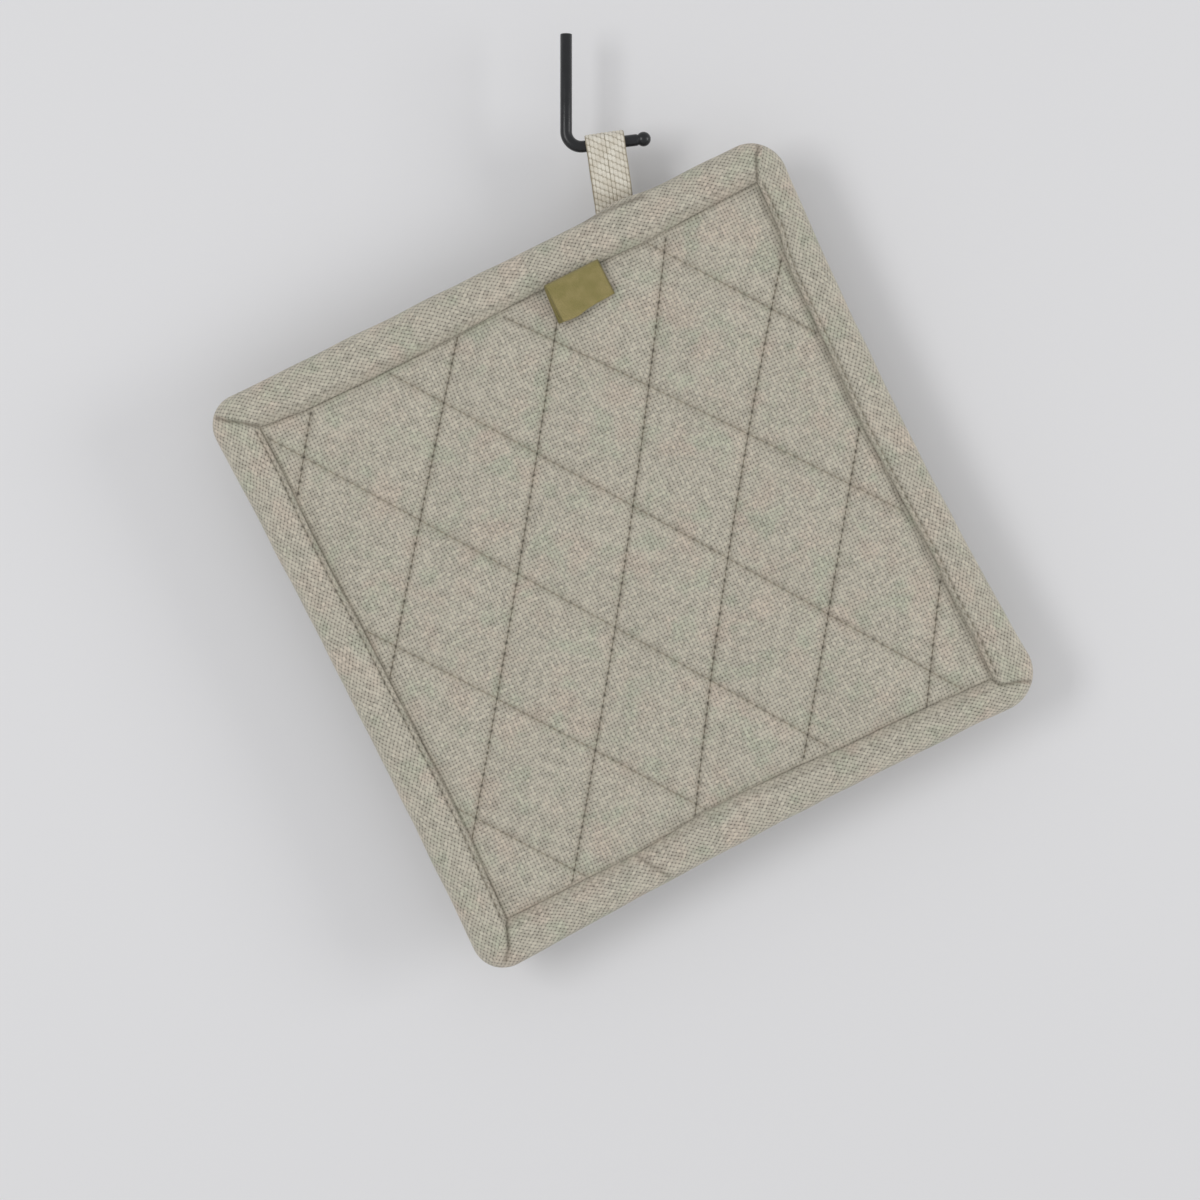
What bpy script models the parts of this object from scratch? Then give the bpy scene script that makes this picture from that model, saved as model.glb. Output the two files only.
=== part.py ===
"""Quilted pot holder hanging by its tape loop from a wire hook.  Metres, +Z up.

The origin is the middle of the cut upper end of the hook's rod, and the pot holder faces -Y.  The
pad, its binding and its label are laid out flat in the pad's own frame, X along the upper edge and
Z across it, and an empty tilts them as they hang.  A second empty holds the loop on the hook's arm.
"""

import math
from collections import namedtuple

import bmesh
import bpy
from mathutils import Matrix, Vector

COLLECTION = "pot_holder_on_hook"
GAP = 0.0003

# How it hangs: the pad's middle lies under the hook, and the loop leans with the arm it sits on
PAD_CENTRE = (0.0184, -0.0042, -0.1660)
PAD_TILT = math.radians(26.4)
LOOP_ON_ARM = (0.0126, 0.0, -0.0353)
LOOP_LEAN = math.radians(8.5)

# Outline of the pad, a row for each corner: its signs along and across, the outermost corner
# before it is rounded, its radius, and the inner corner of the binding on the face
Corner = namedtuple("Corner", "along across outer_x outer_z radius inner_x inner_z")
CORNERS = (
    Corner(-1, -1, -0.0997, -0.1040, 0.0100, -0.0865, -0.0900),
    Corner(1, -1, 0.1013, -0.1006, 0.0125, 0.0885, -0.0900),
    Corner(1, 1, 0.1012, 0.0997, 0.0120, 0.0905, 0.0870),
    Corner(-1, 1, -0.1012, 0.1000, 0.0100, -0.0875, 0.0870),
)

# Half the pad's side over all and inside the binding, which turn shares of the square into lengths
HALF_SIDE = 0.1005
HALF_PANEL = 0.0885

# How far the middle of each side is drawn in, outside and along the binding's inner edge
DrawnIn = namedtuple("DrawnIn", "left right top bottom")
OUTER_DRAWN_IN = DrawnIn(left=0.0009, right=0.0026, top=0.0, bottom=0.0015)
INNER_DRAWN_IN = DrawnIn(left=0.0003, right=0.0015, top=0.0011, bottom=0.0030)

# Quilting seams, a row for each: the x where it crosses z = +SEAM_SPAN and z = -SEAM_SPAN
SEAM_SPAN = 0.060
SQUARE_CORRECTIONS = 6
Seam = namedtuple("Seam", "upper_x lower_x")
SEAMS = (
    Seam(-0.0870, -0.1720),
    Seam(-0.0365, -0.1270),
    Seam(0.0031, -0.0835),
    Seam(0.0415, -0.0413),
    Seam(0.0860, -0.0003),
    Seam(0.1270, 0.0405),
    Seam(0.1700, 0.0825),
    Seam(0.0680, 0.1540),
    Seam(0.0175, 0.1090),
    Seam(-0.0252, 0.0580),
    Seam(-0.0700, 0.0133),
    Seam(-0.1200, -0.0320),
    Seam(-0.1650, -0.0775),
)

# Half thicknesses of the pad: at the middle of a full diamond, along a seam, and where the
# binding is sewn down
CROWN = 0.0043
CHANNEL = 0.0025
DITCH = 0.0017
FULL_DIAMOND_AREA = 0.00115

# Rings that round a diamond off: its size against the diamond's, and its share of the crown
Ring = namedtuple("Ring", "scale rise")
PUFF_RINGS = (Ring(0.80, 0.60), Ring(0.50, 0.92))

# The pad's edge inside the binding: reach is 0 at the binding's inner edge and 1 at the outside
Flange = namedtuple("Flange", "reach half_thickness")
FLANGE = (Flange(0.50, 0.0020), Flange(0.82, 0.0009))

# Binding: cloth thickness, its half height over the pad's edge and at its inner edge, and the
# reach at which its inner edge lies and at which its rounded nose begins
BINDING_CLOTH = 0.0012
BINDING_HALF = 0.0036
BINDING_INNER_HALF = 0.0032
INNER_REACH = 0.04
SHOULDER_REACH = 0.30
NOSE_REACH = 0.68
NOSE_STEPS = 8
CORNER_SHARE = 0.12
SIDE_STOPS = (-0.60, -0.30, 0.0, 0.30, 0.60)

# Hook: bent wire with a ball at the tip of its arm
WIRE_RADIUS = 0.0019
BEND_RADIUS = 0.0049
ELBOW_Z = -0.0369
ARM_RISE = math.radians(7.1)
BALL_ALONG_ARM = 0.0251
BALL_RADIUS = 0.00235
BALL_NECK_RADIUS = 0.0016
BALL_TIP_TURN = math.radians(173.0)
BEND_STEPS = 8
BALL_STEPS = 8

# Loop: woven tape, over the arm and down behind the binding
TAPE_WIDTH = 0.0125
TAPE_CLOTH = 0.0014
ARM_CLEARANCE = 0.0004
LOOP_BELLY = 0.0004
LOOP_BELLY_END = -0.0105
LOOP_SEWN_FROM = -0.0215
LOOP_END = -0.0338
ARCH_STEPS = 10
SWING_STEPS = 6

# Label: a folded tab, caught at the binding's inner edge, whose fold stands off the pad
LABEL_WIDTH = 0.0195
LABEL_X = 0.0243
LABEL_TOP = 0.0854
LABEL_FOLD = 0.0737
LABEL_CLOTH = 0.0010
LABEL_LAYER_PITCH = 0.0013
LABEL_LIFT_TOP = 0.0043
LABEL_LIFT_FOLD = 0.0066
LABEL_LEFT_LIFT = 0.0006
LABEL_ROWS = (0.0, 0.12, 0.30, 0.60)
LABEL_FOLD_STEPS = 6
LABEL_COLUMNS = 4


def new_collection():
    collection = bpy.data.collections.new(COLLECTION)
    bpy.context.scene.collection.children.link(collection)
    return collection


def new_empty(name, collection, location, lean):
    """An empty that its children hang from, turned about Y so that its X axis climbs to the right."""
    empty = bpy.data.objects.new(name, None)
    empty.empty_display_size = 0.02
    empty.location = location
    empty.rotation_euler = (0.0, -lean, 0.0)
    collection.objects.link(empty)
    return empty


def new_material(name, colour, roughness):
    material = bpy.data.materials.new(name)
    material.use_nodes = True
    shader = material.node_tree.nodes["Principled BSDF"]
    shader.inputs["Base Color"].default_value = (*colour, 1.0)
    shader.inputs["Roughness"].default_value = roughness
    shader.inputs["Metallic"].default_value = 0.0
    return material


def add_object(name, data, collection, parent, material):
    obj = bpy.data.objects.new(name, data)
    obj.parent = parent
    data.materials.append(material)
    collection.objects.link(obj)
    return obj


def mesh_from(bm, name):
    mesh = bpy.data.meshes.new(name)
    bm.to_mesh(mesh)
    bm.free()
    return mesh


def add_cloth_thickness(obj, thickness, offset):
    """Solidify an open sheet: offset 0 grows both ways, and -1 grows behind the faces."""
    solidify = obj.modifiers.new("Cloth thickness", "SOLIDIFY")
    solidify.thickness = thickness
    solidify.offset = offset
    solidify.use_even_offset = True
    return solidify


# The pad's frame: a square from -1 to 1 each way is laid on the panel, and its edge on the rim


def corner_blend(across_x, across_z, corner_value):
    """Bilinear mix of a value read from the four corners."""
    total = 0.0
    for corner in CORNERS:
        share_x = (1.0 + corner.along * across_x) / 2.0
        share_z = (1.0 + corner.across * across_z) / 2.0
        total += corner_value(corner) * share_x * share_z
    return total


def draw_in(across_x, across_z, drawn_in):
    """How far a point moves towards the middle because its sides are drawn in."""
    bow_x = 1.0 - across_z * across_z
    bow_z = 1.0 - across_x * across_x
    left = drawn_in.left * (1.0 - across_x) / 2.0
    right = drawn_in.right * (1.0 + across_x) / 2.0
    bottom = drawn_in.bottom * (1.0 - across_z) / 2.0
    top = drawn_in.top * (1.0 + across_z) / 2.0
    return (left - right) * bow_x, (bottom - top) * bow_z


def on_panel(across_x, across_z):
    """Place of a point of the square on the quilted panel, inside the binding's inner edge."""
    move_x, move_z = draw_in(across_x, across_z, INNER_DRAWN_IN)
    x = corner_blend(across_x, across_z, lambda corner: corner.inner_x) + move_x
    z = corner_blend(across_x, across_z, lambda corner: corner.inner_z) + move_z
    return x, z


def round_off(across_x, across_z):
    """Move a point of the square's edge onto the same edge with rounded corners."""
    share = corner_blend(across_x, across_z, lambda corner: corner.radius) / HALF_SIDE
    from_corner = 1.0 - min(abs(across_x), abs(across_z))
    if from_corner >= share:
        return across_x, across_z
    turn = math.radians(45.0) * (1.0 - from_corner / share)
    along = 1.0 - share + share * math.sin(turn)
    outward = 1.0 - share + share * math.cos(turn)
    if abs(across_x) < abs(across_z):
        return math.copysign(along, across_x), math.copysign(outward, across_z)
    return math.copysign(outward, across_x), math.copysign(along, across_z)


def on_rim(across_x, across_z):
    """Place of a point of the square's edge on the outermost edge of the pot holder."""
    round_x, round_z = round_off(across_x, across_z)
    move_x, move_z = draw_in(round_x, round_z, OUTER_DRAWN_IN)
    x = corner_blend(round_x, round_z, lambda corner: corner.outer_x) + move_x
    z = corner_blend(round_x, round_z, lambda corner: corner.outer_z) + move_z
    return x, z


def square_point(x, z):
    """The point of the square that on_panel lays at x, z, found by a few corrections."""
    across_x = x / HALF_PANEL
    across_z = z / HALF_PANEL
    for _ in range(SQUARE_CORRECTIONS):
        now_x, now_z = on_panel(across_x, across_z)
        across_x += (x - now_x) / HALF_PANEL
        across_z += (z - now_z) / HALF_PANEL
    return Vector((across_x, 0.0, across_z))


def extend_edge(bm, edges, reach_layer, reach):
    """Extrude open edges in place and give the new points their reach towards the rim."""
    made = bmesh.ops.extrude_edge_only(bm, edges=edges)["geom"]
    for item in made:
        if isinstance(item, bmesh.types.BMVert):
            item[reach_layer] = reach
    return [item for item in made if isinstance(item, bmesh.types.BMEdge) and item.is_boundary]


def lay_out(bm, reach_layer):
    """Move every point from the square to its place on the pad, keeping its y."""
    for vert in bm.verts:
        across_x, y, across_z = vert.co
        reach = vert[reach_layer]
        place = Vector(on_panel(across_x, across_z))
        if reach > 0.0:
            place = place.lerp(Vector(on_rim(across_x, across_z)), reach)
        vert.co = (place.x, y, place.y)


# Quilted pad: two cloths with wadding between them, as one filled solid


def cut_seams(bm):
    """Cut the square along every quilting seam, which leaves one face for each diamond."""
    for seam in SEAMS:
        upper = square_point(seam.upper_x, SEAM_SPAN)
        lower = square_point(seam.lower_x, -SEAM_SPAN)
        run = upper - lower
        everything = bm.verts[:] + bm.edges[:] + bm.faces[:]
        across = Vector((run.z, 0.0, -run.x)).normalized()
        bmesh.ops.bisect_plane(bm, geom=everything, dist=0.0001, plane_co=lower, plane_no=across)


def puff_diamonds(bm, half):
    """Raise each diamond in rings towards its middle; a small one rises less."""
    for face in list(bm.faces):
        area = face.calc_area() * HALF_PANEL * HALF_PANEL
        rise = (CROWN - CHANNEL) * min(1.0, math.sqrt(area / FULL_DIAMOND_AREA))
        centre = face.calc_center_median()
        size = 1.0
        for ring in PUFF_RINGS:
            bmesh.ops.inset_individual(bm, faces=[face], thickness=0.0)
            shrink = ring.scale / size
            around = Matrix.Translation(-centre)
            bmesh.ops.scale(bm, vec=(shrink,) * 3, space=around, verts=face.verts[:])
            size = ring.scale
            for vert in face.verts:
                vert[half] = CHANNEL + ring.rise * rise
        middle = bmesh.ops.poke(bm, faces=[face])["verts"][0]
        middle.co = centre
        middle[half] = CHANNEL + rise


def build_pad(collection, parent, material):
    bm = bmesh.new()
    reach_layer = bm.verts.layers.float.new("reach")
    half = bm.verts.layers.float.new("half_thickness")
    upright = Matrix.Rotation(math.radians(90.0), 4, "X")
    bmesh.ops.create_grid(bm, x_segments=1, y_segments=1, size=1.0, matrix=upright)
    cut_seams(bm)
    for vert in bm.verts:
        vert[half] = DITCH if vert.is_boundary else CHANNEL
    puff_diamonds(bm, half)
    rim = [edge for edge in bm.edges if edge.is_boundary]
    for row in FLANGE:
        rim = extend_edge(bm, rim, reach_layer, row.reach)
        for vert in {vert for edge in rim for vert in edge.verts}:
            vert[half] = row.half_thickness
    lay_out(bm, reach_layer)
    weights = bm.verts.layers.deform.verify()
    for vert in bm.verts:
        vert[weights][0] = vert[half] / CROWN
    pad = add_object("quilted_pad", mesh_from(bm, "quilted_pad"), collection, parent, material)
    pad.vertex_groups.new(name="thickness")
    solidify = add_cloth_thickness(pad, 2.0 * CROWN, 0.0)
    solidify.use_even_offset = False
    solidify.vertex_group = "thickness"
    return pad


# Edge binding: one bias strip folded over the pad's edge, all the way round


def square_edge():
    """Points round the square's edge, closer together at the corners, in order."""
    near = (-1.0, -1.0 + CORNER_SHARE / 2.0, -1.0 + CORNER_SHARE)
    far = (1.0 - CORNER_SHARE, 1.0 - CORNER_SHARE / 2.0)
    stops = near + SIDE_STOPS + far
    points = [(stop, -1.0) for stop in stops]
    points += [(1.0, stop) for stop in stops]
    points += [(-stop, 1.0) for stop in stops]
    points += [(-1.0, -stop) for stop in stops]
    return points


def binding_profile():
    """Rows of the fold, from its inner edge on the face, round the nose, to the one behind."""
    shoulder = (BINDING_INNER_HALF + BINDING_HALF) / 2.0
    face = [(INNER_REACH, BINDING_INNER_HALF), (SHOULDER_REACH, shoulder)]
    nose = []
    for step in range(NOSE_STEPS + 1):
        turn = math.pi * (0.5 - step / NOSE_STEPS)
        reach = NOSE_REACH + (1.0 - NOSE_REACH) * math.cos(turn)
        nose.append((reach, BINDING_HALF * math.sin(turn)))
    back = [(reach, -lift) for reach, lift in reversed(face)]
    return face + nose + back


def build_binding(collection, parent, material):
    bm = bmesh.new()
    reach_layer = bm.verts.layers.float.new("reach")
    rows = binding_profile()
    first = [bm.verts.new((x, -BINDING_INNER_HALF, z)) for x, z in square_edge()]
    for vert in first:
        vert[reach_layer] = INNER_REACH
    rim = [bm.edges.new((first[i - 1], first[i])) for i in range(len(first))]
    for reach, lift in rows[1:]:
        rim = extend_edge(bm, rim, reach_layer, reach)
        for vert in {vert for edge in rim for vert in edge.verts}:
            vert.co.y = -lift
    lay_out(bm, reach_layer)
    binding = add_object("edge_binding", mesh_from(bm, "edge_binding"), collection, parent, material)
    add_cloth_thickness(binding, BINDING_CLOTH, -1.0)
    return binding


# Hanging loop: a length of tape over the arm, its two ends sewn flat behind the binding


def smooth_step(share):
    return share * share * (3.0 - 2.0 * share)


def loop_leg(side, sewn_y):
    """One leg from the arm down, as y and z: side is -1 before the arm and 1 behind it."""
    at_arm = WIRE_RADIUS + ARM_CLEARANCE + TAPE_CLOTH / 2.0
    leg = [(side * (at_arm + LOOP_BELLY), 0.5 * LOOP_BELLY_END)]
    for step in range(SWING_STEPS + 1):
        share = step / SWING_STEPS
        y = side * at_arm + (sewn_y - side * at_arm) * smooth_step(share)
        leg.append((y, LOOP_BELLY_END + (LOOP_SEWN_FROM - LOOP_BELLY_END) * share))
    leg.append((sewn_y, LOOP_END))
    return leg


def loop_path():
    """Middle of the tape, from the sewn end of the front leg over the arm to that of the back."""
    at_arm = WIRE_RADIUS + ARM_CLEARANCE + TAPE_CLOTH / 2.0
    arch = []
    for step in range(ARCH_STEPS + 1):
        turn = math.pi * (1.0 - step / ARCH_STEPS)
        arch.append((at_arm * math.cos(turn), at_arm * math.sin(turn)))
    inner_y = TAPE_CLOTH / 2.0
    outer_y = inner_y + TAPE_CLOTH + GAP
    return loop_leg(-1, inner_y)[::-1] + arch + loop_leg(1, outer_y)


def build_loop(collection, parent, material):
    bm = bmesh.new()
    path = loop_path()
    ends = [bm.verts.new((side * TAPE_WIDTH / 2.0, *path[0])) for side in (-1.0, 1.0)]
    front = [bm.edges.new(ends)]
    for here, there in zip(path, path[1:]):
        made = bmesh.ops.extrude_edge_only(bm, edges=front)["geom"]
        verts = [item for item in made if isinstance(item, bmesh.types.BMVert)]
        front = [item for item in made if isinstance(item, bmesh.types.BMEdge)
                 and all(vert in verts for vert in item.verts)]
        bmesh.ops.translate(bm, verts=verts, vec=(0.0, there[0] - here[0], there[1] - here[1]))
    loop = add_object("hanging_loop", mesh_from(bm, "hanging_loop"), collection, parent, material)
    add_cloth_thickness(loop, TAPE_CLOTH, 0.0)
    return loop


# Side label: a short ribbon folded in half, its cut ends caught by the binding's seam


def label_path():
    """Middle of the ribbon as height and lift: down the back layer, round the fold, and up."""
    half = LABEL_LAYER_PITCH / 2.0
    layer = []
    for down in LABEL_ROWS:
        height = LABEL_TOP + (LABEL_FOLD - LABEL_TOP) * down
        lift = LABEL_LIFT_TOP + (LABEL_LIFT_FOLD - LABEL_LIFT_TOP) * math.sqrt(down)
        layer.append((height, lift))
    fold = []
    for step in range(LABEL_FOLD_STEPS + 1):
        turn = math.pi * step / LABEL_FOLD_STEPS
        fold.append((LABEL_FOLD + half - half * math.sin(turn), LABEL_LIFT_FOLD - half * math.cos(turn)))
    behind = [(height, lift - half) for height, lift in layer]
    before = [(height, lift + half) for height, lift in reversed(layer)]
    return behind + fold + before


def build_label(collection, parent, material):
    path = label_path()
    bm = bmesh.new()
    bmesh.ops.create_grid(bm, x_segments=LABEL_COLUMNS, y_segments=len(path) - 1, size=1.0)
    for vert in bm.verts:
        row = round((vert.co.y + 1.0) / 2.0 * (len(path) - 1))
        height, lift = path[row]
        down = (LABEL_TOP - height) / (LABEL_TOP - LABEL_FOLD)
        left = (1.0 - vert.co.x) / 2.0
        lift += LABEL_LEFT_LIFT * left * down
        vert.co = (LABEL_X + vert.co.x * LABEL_WIDTH / 2.0, -lift, height)
    label = add_object("side_label", mesh_from(bm, "side_label"), collection, parent, material)
    add_cloth_thickness(label, LABEL_CLOTH, 0.0)
    return label


# Hook: one bent wire, cut square at the top, with a ball at its tip


def hook_points():
    """Middle of the wire and its radius there, from the cut end down to the tip of the ball."""
    arm = Vector((math.cos(ARM_RISE), 0.0, math.sin(ARM_RISE)))
    elbow = Vector((0.0, 0.0, ELBOW_Z))
    turn = math.pi / 2.0 + ARM_RISE
    centre = elbow + Vector((BEND_RADIUS, 0.0, BEND_RADIUS * math.tan(turn / 2.0)))
    points = [(Vector((0.0, 0.0, 0.0)), WIRE_RADIUS)]
    for step in range(BEND_STEPS + 1):
        angle = turn * step / BEND_STEPS
        spoke = Vector((-math.cos(angle), 0.0, -math.sin(angle)))
        points.append((centre + BEND_RADIUS * spoke, WIRE_RADIUS))
    neck_angle = math.asin(BALL_NECK_RADIUS / BALL_RADIUS)
    ball = elbow + arm * BALL_ALONG_ARM
    neck = ball - arm * BALL_RADIUS * math.cos(neck_angle)
    points.append((neck - arm * (WIRE_RADIUS - BALL_NECK_RADIUS), WIRE_RADIUS))
    for step in range(BALL_STEPS + 1):
        angle = neck_angle + (BALL_TIP_TURN - neck_angle) * step / BALL_STEPS
        place = ball - arm * BALL_RADIUS * math.cos(angle)
        points.append((place, BALL_RADIUS * math.sin(angle)))
    return points


def build_hook(collection, material):
    points = hook_points()
    curve = bpy.data.curves.new("hook", "CURVE")
    curve.dimensions = "3D"
    curve.bevel_depth = WIRE_RADIUS
    curve.bevel_resolution = 4
    curve.use_fill_caps = True
    spline = curve.splines.new("POLY")
    spline.points.add(len(points) - 1)
    for point, (place, radius) in zip(spline.points, points):
        point.co = (*place, 1.0)
        point.radius = radius / WIRE_RADIUS
    spline.use_smooth = True
    return add_object("hook", curve, collection, None, material)


for old in list(bpy.data.objects):
    bpy.data.objects.remove(old, do_unlink=True)

parts = new_collection()
pad_place = new_empty("pad_place", parts, PAD_CENTRE, PAD_TILT)
loop_place = new_empty("loop_place", parts, LOOP_ON_ARM, LOOP_LEAN)

build_pad(parts, pad_place, new_material("quilt_cloth", (0.43, 0.40, 0.34), 0.95))
build_binding(parts, pad_place, new_material("binding_cloth", (0.42, 0.39, 0.33), 0.95))
build_label(parts, pad_place, new_material("label_ribbon", (0.26, 0.24, 0.10), 0.80))
build_loop(parts, loop_place, new_material("tape_cotton", (0.66, 0.62, 0.54), 0.90))
build_hook(parts, new_material("hook_black", (0.012, 0.012, 0.014), 0.35))
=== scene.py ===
"""Quilted linen pot holder hanging by its tape loop from a black wire hook.  Metres, +Z up."""

import math
from collections import namedtuple

import bmesh
import bpy
import numpy as np
from mathutils import Matrix, Vector, noise
from mathutils.bvhtree import BVHTree


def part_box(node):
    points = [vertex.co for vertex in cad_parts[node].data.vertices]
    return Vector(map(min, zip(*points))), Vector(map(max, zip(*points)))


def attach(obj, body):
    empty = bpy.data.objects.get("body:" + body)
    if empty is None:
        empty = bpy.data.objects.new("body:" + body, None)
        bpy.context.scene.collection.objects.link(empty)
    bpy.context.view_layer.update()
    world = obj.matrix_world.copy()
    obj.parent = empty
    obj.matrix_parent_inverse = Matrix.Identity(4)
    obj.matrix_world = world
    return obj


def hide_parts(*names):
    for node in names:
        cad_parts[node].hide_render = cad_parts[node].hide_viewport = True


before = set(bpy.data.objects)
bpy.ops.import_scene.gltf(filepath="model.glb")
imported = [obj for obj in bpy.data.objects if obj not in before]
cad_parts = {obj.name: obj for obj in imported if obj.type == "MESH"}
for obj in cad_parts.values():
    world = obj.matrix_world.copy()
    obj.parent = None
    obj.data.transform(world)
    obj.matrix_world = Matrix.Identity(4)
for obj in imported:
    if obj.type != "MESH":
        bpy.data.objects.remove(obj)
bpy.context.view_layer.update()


# ---------------------------------------------------------------------------------------------
# How it hangs.  The pad hangs tilted from one point of its upper side.  All that is sewn to it is
# laid out flat in the pad's own frame, x along the upper side, z across it and -y to the front.
# ---------------------------------------------------------------------------------------------

PAD_TILT = math.radians(26.4)
BOX_TO_PAD_MIDDLE = Vector((0.00016, 0.0, 0.00167))

pad_low, pad_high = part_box("quilted_pad")
pad_middle = (pad_low + pad_high) / 2.0 + BOX_TO_PAD_MIDDLE
pad_place = Matrix.Translation(pad_middle) @ Matrix.Rotation(-PAD_TILT, 4, "Y")


def smooth(share):
    """Ease from 0 to 1, for a number or an array."""
    share = np.clip(share, 0.0, 1.0)
    return share * share * (3.0 - 2.0 * share)


def wander(x, z, size, seed):
    """Slow unevenness of hand-made work at a place, from -1 to 1."""
    return noise.noise(Vector((x / size, seed, z / size)))


def add_piece(name, mesh, material, place):
    """Put a finished mesh in the scene: its place goes into the mesh, and its faces are smooth."""
    mesh.transform(place)
    mesh.materials.clear()
    mesh.materials.append(material)
    mesh.shade_smooth()
    piece = bpy.data.objects.new(name, mesh)
    bpy.context.scene.collection.objects.link(piece)
    return piece


def mesh_of(bm, name):
    mesh = bpy.data.meshes.new(name)
    bm.to_mesh(mesh)
    bm.free()
    return mesh


def set_attribute(mesh, name, values):
    """Store one number for each vertex, which the material reads by name."""
    attribute = mesh.attributes.new(name, "FLOAT", "POINT")
    attribute.data.foreach_set("value", np.asarray(values, dtype=np.float32))


# ---------------------------------------------------------------------------------------------
# Linen, for the pad and its binding.  A plain weave of uneven flax yarns: each crossing shows a bead of the
# upper yarn, with a small hole at every corner between four yarns.  The holes' darkness, the yarns' darker
# flanks and the dark along seams, creases and needle holes are painted shade.
# ---------------------------------------------------------------------------------------------


class Nodes:
    """Short way of writing a material's nodes."""

    def __init__(self, name):
        self.material = bpy.data.materials.new(name)
        self.material.use_nodes = True
        self.tree = self.material.node_tree
        self.shader = self.tree.nodes["Principled BSDF"]

    def set(self, **values):
        """Fix a shader value that is the same all over the surface."""
        for socket, value in values.items():
            self.shader.inputs[socket.replace("_", " ")].default_value = value

    def plug(self, target, value):
        if isinstance(value, bpy.types.NodeSocket):
            self.tree.links.new(value, target)
        else:
            target.default_value = value

    def node(self, kind, output=0, settings=(), **inputs):
        node = self.tree.nodes.new(kind)
        for key, value in settings:
            setattr(node, key, value)
        for key, value in inputs.items():
            self.plug(node.inputs[key.replace("_", " ")], value)
        return node.outputs[output]

    def math(self, operation, *values, clamp=False):
        node = self.tree.nodes.new("ShaderNodeMath")
        node.operation = operation
        node.use_clamp = clamp
        for socket, value in zip(node.inputs, values):
            self.plug(socket, value)
        return node.outputs[0]

    def vector_math(self, operation, *values, output=0):
        node = self.tree.nodes.new("ShaderNodeVectorMath")
        node.operation = operation
        for socket, value in zip(node.inputs, values):
            self.plug(socket, value)
        return node.outputs[output]

    def ramp(self, value, low, high, out_low=0.0, out_high=1.0):
        """Ease from out_low to out_high while the value goes from low to high."""
        node = self.tree.nodes.new("ShaderNodeMapRange")
        node.interpolation_type = "SMOOTHSTEP"
        numbers = (value, low, high, out_low, out_high)
        for key, number in zip(("Value", "From Min", "From Max", "To Min", "To Max"), numbers):
            self.plug(node.inputs[key], number)
        return node.outputs["Result"]

    def noise(self, vector, scale, detail=2.0, output="Fac"):
        node = self.tree.nodes.new("ShaderNodeTexNoise")
        node.inputs["Scale"].default_value = scale
        node.inputs["Detail"].default_value = detail
        self.plug(node.inputs["Vector"], vector)
        return node.outputs[output]

    def combine(self, x, y, z=0.0):
        return self.node("ShaderNodeCombineXYZ", X=x, Y=y, Z=z)

    def mix(self, share, first, second, blend="MIX"):
        node = self.tree.nodes.new("ShaderNodeMix")
        node.data_type = "RGBA"
        node.blend_type = blend
        self.plug(node.inputs[0], share)
        self.plug(node.inputs[6], first)
        self.plug(node.inputs[7], second)
        return node.outputs[2]

    def attribute(self, name):
        return self.node("ShaderNodeAttribute", "Fac", (("attribute_name", name),))

    def finish(self, colour, height, distance, strength=1.0):
        """Join colour and relief to the shader."""
        bump = self.tree.nodes.new("ShaderNodeBump")
        bump.inputs["Distance"].default_value = distance
        bump.inputs["Strength"].default_value = strength
        self.plug(bump.inputs["Height"], height)
        self.plug(self.shader.inputs["Normal"], bump.outputs[0])
        self.plug(self.shader.inputs["Base Color"], colour)
        return self.material


def colour_of(red, green, blue):
    """Colour given as it looks on a screen, from 0 to 255, turned to the light it reflects."""
    linear = [((c / 255.0 + 0.055) / 1.055) ** 2.4 for c in (red, green, blue)]
    return (*linear, 1.0)


LINEN_YARN = colour_of(197, 191, 176)
LINEN_ROSY = colour_of(202, 191, 176)
LINEN_GREENISH = colour_of(190, 190, 172)
# Painted shade: dark for the holes between yarns, along seams and creases, and in needle holes
LINEN_HOLE_SHADE = colour_of(84, 79, 68)
LINEN_SEAM_SHADE = colour_of(120, 108, 88)
LINEN_NEEDLE_HOLE_SHADE = colour_of(62, 56, 46)
YARN_PITCH = 0.00113
YARN_HALF_WIDTH = 0.37


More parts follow.
